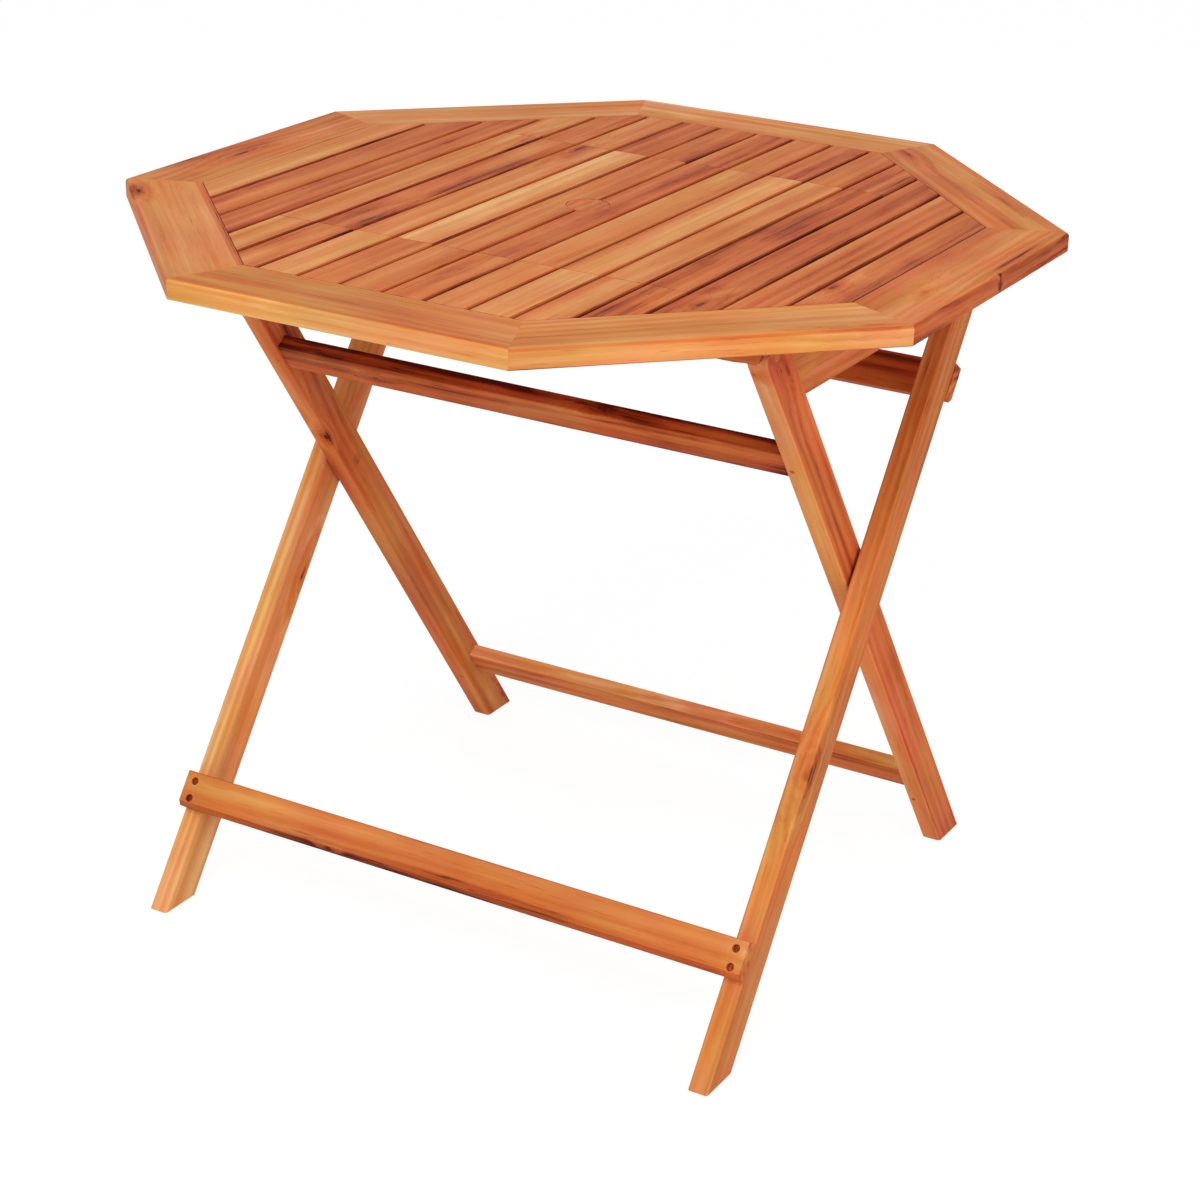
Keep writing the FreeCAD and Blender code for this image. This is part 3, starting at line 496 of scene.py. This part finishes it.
# loose tongues and dowels in paler wood
looseWood = {
    "rim_splines": {"along": toRight, "face": upward, "tone": "pale", "seed": 85},
    "cleat_dowels": {"along": upward, "face": toBack, "tone": "pale", "seed": 86},
}
for node, look in looseWood.items():
    woodMaterial(node, **look)

# zinc plated bolts, nuts and washers, browned screws and pins
metals = {
    "zinc": {"bright": tint(196, 192, 184), "dull": tint(120, 116, 110), "rough": (0.28, 0.50),
             "metallic": 1.0, "specular": 0.5, "words": ("bolt", "washers", "nuts")},
    "browned": {"bright": tint(206, 100, 56), "dull": tint(160, 66, 36), "rough": (0.55, 0.75),
                "metallic": 0.15, "specular": 0.15, "words": ("screws", "pins")},
}
tarnish = {
    "speckle": {"Scale": 900.0, "Detail": 3.0}, "speckleBand": (0.2, 0.8),
    "stain": {"Scale": 90.0, "Detail": 2.0}, "stainBand": (0.35, 0.75),
}


def metalMaterial(name, look):
    material, tree, shader = newMaterial(name + "_steel")
    coords = addNode(tree, "TexCoord").outputs["Object"]
    speckle = addNode(tree, "TexNoise", {"Vector": coords, **tarnish["speckle"]}).outputs["Fac"]
    stain = addNode(tree, "TexNoise", {"Vector": coords, **tarnish["stain"]}).outputs["Fac"]
    feeds = {"Factor": eased(tree, stain, *tarnish["stainBand"]), "A": look["bright"], "B": look["dull"]}
    mix = addNode(tree, "Mix", feeds, data_type="RGBA")
    rough = eased(tree, speckle, *tarnish["speckleBand"], *look["rough"])
    tree.links.new(mix.outputs["Result"], shader.inputs["Base Color"])
    tree.links.new(rough, shader.inputs["Roughness"])
    shader.inputs["Metallic"].default_value = look["metallic"]
    shader.inputs["Specular IOR Level"].default_value = look["specular"]
    return material


steels = {name: metalMaterial(name, look) for name, look in metals.items()}
for name, look in metals.items():
    for node, piece in nodes.items():
        if any(word in node for word in look["words"]):
            setMaterial(piece, steels[name])
print("frame and fittings coloured")

# countersunk screws with a cross in the head, modelled once for each node and put in the plain ones' places
screws = {
    "headRadius": 0.0040, "headDeep": 0.0030, "shankRadius": 0.0020, "tipLength": 0.0040, "tipTaper": 0.15,
    "rimEase": 0.00025, "rimSegments": 2, "sides": 20, "smoothAngle": 35,
    "crossReach": 0.0023, "crossWidth": 0.0010, "crossDeep": 0.0015, "crossTaper": 0.55,
    "turnEach": 2.4,  # each screw stops at another angle
    "mergeWithin": 0.00001, "endWithin": 0.0001, "sortDigits": 4,  # for reading the plain ones
    "squareOn": 0.9,  # least share of a face's normal along Z for it to be an end face
    "axes": {"batten_screws": upward, "block_screws": upward, "board_screws": outerFront},
}


def pickOnly(pieces):
    bpy.ops.object.select_all(action="DESELECT")
    for piece in pieces:
        piece.select_set(True)
    bpy.context.view_layer.objects.active = pieces[0]


# edit mode with the end faces picked that look up, for 1, or down, for -1
def pickFaces(piece, upDown):
    bpy.ops.object.mode_set(mode="EDIT")
    bpy.ops.mesh.select_mode(type="FACE")
    bpy.ops.mesh.select_all(action="DESELECT")
    bpy.ops.object.mode_set(mode="OBJECT")
    for face in piece.data.polygons:
        face.select = face.normal.z * upDown > screws["squareOn"]
    bpy.ops.object.mode_set(mode="EDIT")


# the picked faces grow or shrink about the Z axis
def resizePicked(share):
    bpy.ops.transform.resize(value=(share, share, 1), center_override=(0, 0, 0))


# head and tip of every screw in a node: the wider end is the head
def screwEnds(node, axis):
    pickOnly([nodes[node]])
    bpy.ops.object.duplicate()
    bpy.ops.object.mode_set(mode="EDIT")
    bpy.ops.mesh.select_all(action="SELECT")
    bpy.ops.mesh.remove_doubles(threshold=screws["mergeWithin"])
    bpy.ops.mesh.separate(type="LOOSE")
    bpy.ops.object.mode_set(mode="OBJECT")
    pairs = []
    for single in list(bpy.context.selected_objects):
        points = [vertex.co.copy() for vertex in single.data.vertices]
        depths = [point.dot(axis) for point in points]
        ends = []
        for limit in (min(depths), max(depths)):
            ring = [point for point, depth in zip(points, depths) if abs(depth - limit) < screws["endWithin"]]
            centre = sum(ring, Vector()) / len(ring)
            ends.append((max((point - centre).length for point in ring), centre))
        ends.sort(key=lambda end: end[0])
        pairs.append((ends[1][1], ends[0][1]))
        bpy.data.objects.remove(single)
    return sorted(pairs, key=lambda pair: tuple(round(value, screws["sortDigits"]) for value in pair[0]))


# one screw with its head at the origin, pointing down
def modelScrew(length):
    look = screws
    shankEnd = length - look["tipLength"]
    bpy.ops.object.select_all(action="DESELECT")
    bpy.ops.mesh.primitive_cylinder_add(
        vertices=look["sides"], radius=look["shankRadius"], depth=shankEnd - look["headDeep"],
        location=(0, 0, -(shankEnd + look["headDeep"]) / 2))
    screw = bpy.context.object
    bpy.ops.object.transform_apply(location=True, rotation=True, scale=True)
    pickFaces(screw, 1)
    bpy.ops.mesh.extrude_region_move(TRANSFORM_OT_translate={"value": (0, 0, look["headDeep"])})
    resizePicked(look["headRadius"] / look["shankRadius"])
    bpy.ops.mesh.bevel(offset=look["rimEase"], segments=look["rimSegments"])
    pickFaces(screw, -1)
    bpy.ops.mesh.extrude_region_move(TRANSFORM_OT_translate={"value": (0, 0, -look["tipLength"])})
    resizePicked(look["tipTaper"])
    bpy.ops.object.mode_set(mode="OBJECT")
    sides = (look["crossReach"] * 2, look["crossWidth"])
    for turned in (0, 1):
        bpy.ops.mesh.primitive_cube_add(size=1, location=(0, 0, 0))
        cutter = bpy.context.object
        cutter.scale = (sides[turned], sides[1 - turned], look["crossDeep"] * 2)
        bpy.ops.object.transform_apply(location=True, rotation=True, scale=True)
        pickFaces(cutter, -1)
        resizePicked(look["crossTaper"])
        bpy.ops.object.mode_set(mode="OBJECT")
        pickOnly([screw])
        cut = screw.modifiers.new("cross", "BOOLEAN")
        cut.operation = "DIFFERENCE"
        cut.object = cutter
        bpy.ops.object.modifier_apply(modifier=cut.name)
        bpy.data.objects.remove(cutter)
    bpy.ops.object.shade_smooth_by_angle(angle=math.radians(look["smoothAngle"]))
    return screw


for node, axis in screws["axes"].items():
    pairs = screwEnds(node, Vector(axis))
    single = modelScrew((pairs[0][0] - pairs[0][1]).length)
    copies = []
    for k, (head, tip) in enumerate(pairs):
        copied = single.copy()
        copied.data = single.data.copy()
        bpy.context.scene.collection.objects.link(copied)
        turn = (head - tip).to_track_quat("Z", "Y").to_matrix().to_4x4()
        turn = turn @ Matrix.Rotation(k * screws["turnEach"], 4, "Z")
        copied.matrix_world = Matrix.Translation(head) @ turn
        copies.append(copied)
    bpy.data.objects.remove(single)
    pickOnly(copies)
    bpy.ops.object.join()
    bpy.ops.object.transform_apply(location=True, rotation=True, scale=True)
    piece = bpy.context.object
    piece.name = "cross_head_" + node
    setMaterial(piece, steels["browned"])
    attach(piece, nodes[node]["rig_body"])
    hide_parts(node)
    print(piece.name, len(pairs), "screws")


# 1 for what is seen, straight on, in a reflection or through glass, and 0 for what only gives light
def seenRays(tree):
    paths = addNode(tree, "LightPath").outputs
    seen = maths(tree, "MAXIMUM", paths["Is Camera Ray"], paths["Is Glossy Ray"])
    return maths(tree, "MAXIMUM", seen, paths["Is Transmission Ray"])


# floor that reads as plain white to the camera and still holds a soft shadow: the lit floor's share
# and the white added to it come to 1
floorLook = {"size": 12.0, "height": -0.0005, "colour": (0.88, 0.88, 0.88, 1.0), "roughness": 0.9,
             "specular": 0.1, "shadowShare": 0.16, "litFloor": 0.575}
whiteAdded = (1 - floorLook["shadowShare"] * floorLook["litFloor"]) / (1 - floorLook["shadowShare"])
bpy.ops.object.select_all(action="DESELECT")
bpy.ops.mesh.primitive_plane_add(size=floorLook["size"], location=(0, 0, floorLook["height"]))
floor = bpy.context.object
floor.name = "floor"
floorMaterial, tree, shader = newMaterial("floor_white")
shader.inputs["Base Color"].default_value = floorLook["colour"]
shader.inputs["Roughness"].default_value = floorLook["roughness"]
shader.inputs["Specular IOR Level"].default_value = floorLook["specular"]
whiteShare = maths(tree, "MULTIPLY", seenRays(tree), 1 - floorLook["shadowShare"])
white = addNode(tree, "Emission", {"Color": (1, 1, 1, 1), "Strength": whiteAdded}).outputs[0]
fromAbove = addNode(tree, "MixShader", (whiteShare, shader.outputs[0], white)).outputs[0]
clear = addNode(tree, "BsdfTransparent").outputs[0]
isBelow = addNode(tree, "NewGeometry").outputs["Backfacing"]  # the table shows from under the floor too
mixed = addNode(tree, "MixShader", (isBelow, fromAbove, clear)).outputs[0]
tree.links.new(mixed, tree.nodes["Material Output"].inputs["Surface"])
setMaterial(floor, floorMaterial)

# even white room for the camera, dimmer as a light
room = {"ambient": 0.55}
world = bpy.data.worlds.new("studio")
bpy.context.scene.world = world
world.use_nodes = True
tree = world.node_tree
backdrop = tree.nodes["Background"]
backdrop.inputs["Color"].default_value = (1, 1, 1, 1)
strength = maths(tree, "MULTIPLY_ADD", seenRays(tree), 1 - room["ambient"], room["ambient"])
tree.links.new(strength, backdrop.inputs["Strength"])

lamps = {
    "key": {"place": (0.6, -3.2, 3.2), "size": 2.2, "power": 80},
    "side": {"place": (3.3, -0.9, 2.0), "size": 2.4, "power": 36},
}
lampAim = Vector((0, 0, 0.5))
for name, lamp in lamps.items():
    light = bpy.data.lights.new(name, "AREA")
    light.size = lamp["size"]
    light.energy = lamp["power"]
    lampObject = bpy.data.objects.new(name, light)
    bpy.context.scene.collection.objects.link(lampObject)
    lampObject.location = lamp["place"]
    lampObject.rotation_euler = (lampAim - Vector(lamp["place"])).to_track_quat("-Z", "Y").to_euler()
print("floor, room and lamps set")

# camera where the picture was taken from, worked out from the table top's outline
view = {"place": (1.30365, -2.22868, 1.41147), "azimuth": 29.8677, "elevation": 23.0951, "roll": 1.3714,
        "lens": 83.246, "sensor": 36.0}
azimuth, elevation, roll = (math.radians(view[key]) for key in ("azimuth", "elevation", "roll"))
out = math.cos(elevation)
back = Vector((math.sin(azimuth) * out, -math.cos(azimuth) * out, math.sin(elevation)))
level = Vector((math.cos(azimuth), math.sin(azimuth), 0))
above = back.cross(level)
right = level * math.cos(roll) + above * math.sin(roll)
up = above * math.cos(roll) - level * math.sin(roll)
camera = bpy.data.cameras.new("camera")
camera.lens = view["lens"]
camera.sensor_width = view["sensor"]
cameraObject = bpy.data.objects.new("camera", camera)
bpy.context.scene.collection.objects.link(cameraObject)
turned = Matrix((right, up, back)).transposed().to_4x4()
cameraObject.matrix_world = Matrix.Translation(view["place"]) @ turned
bpy.context.scene.camera = cameraObject
bpy.context.scene.view_settings.view_transform = "Standard"
print("camera set")
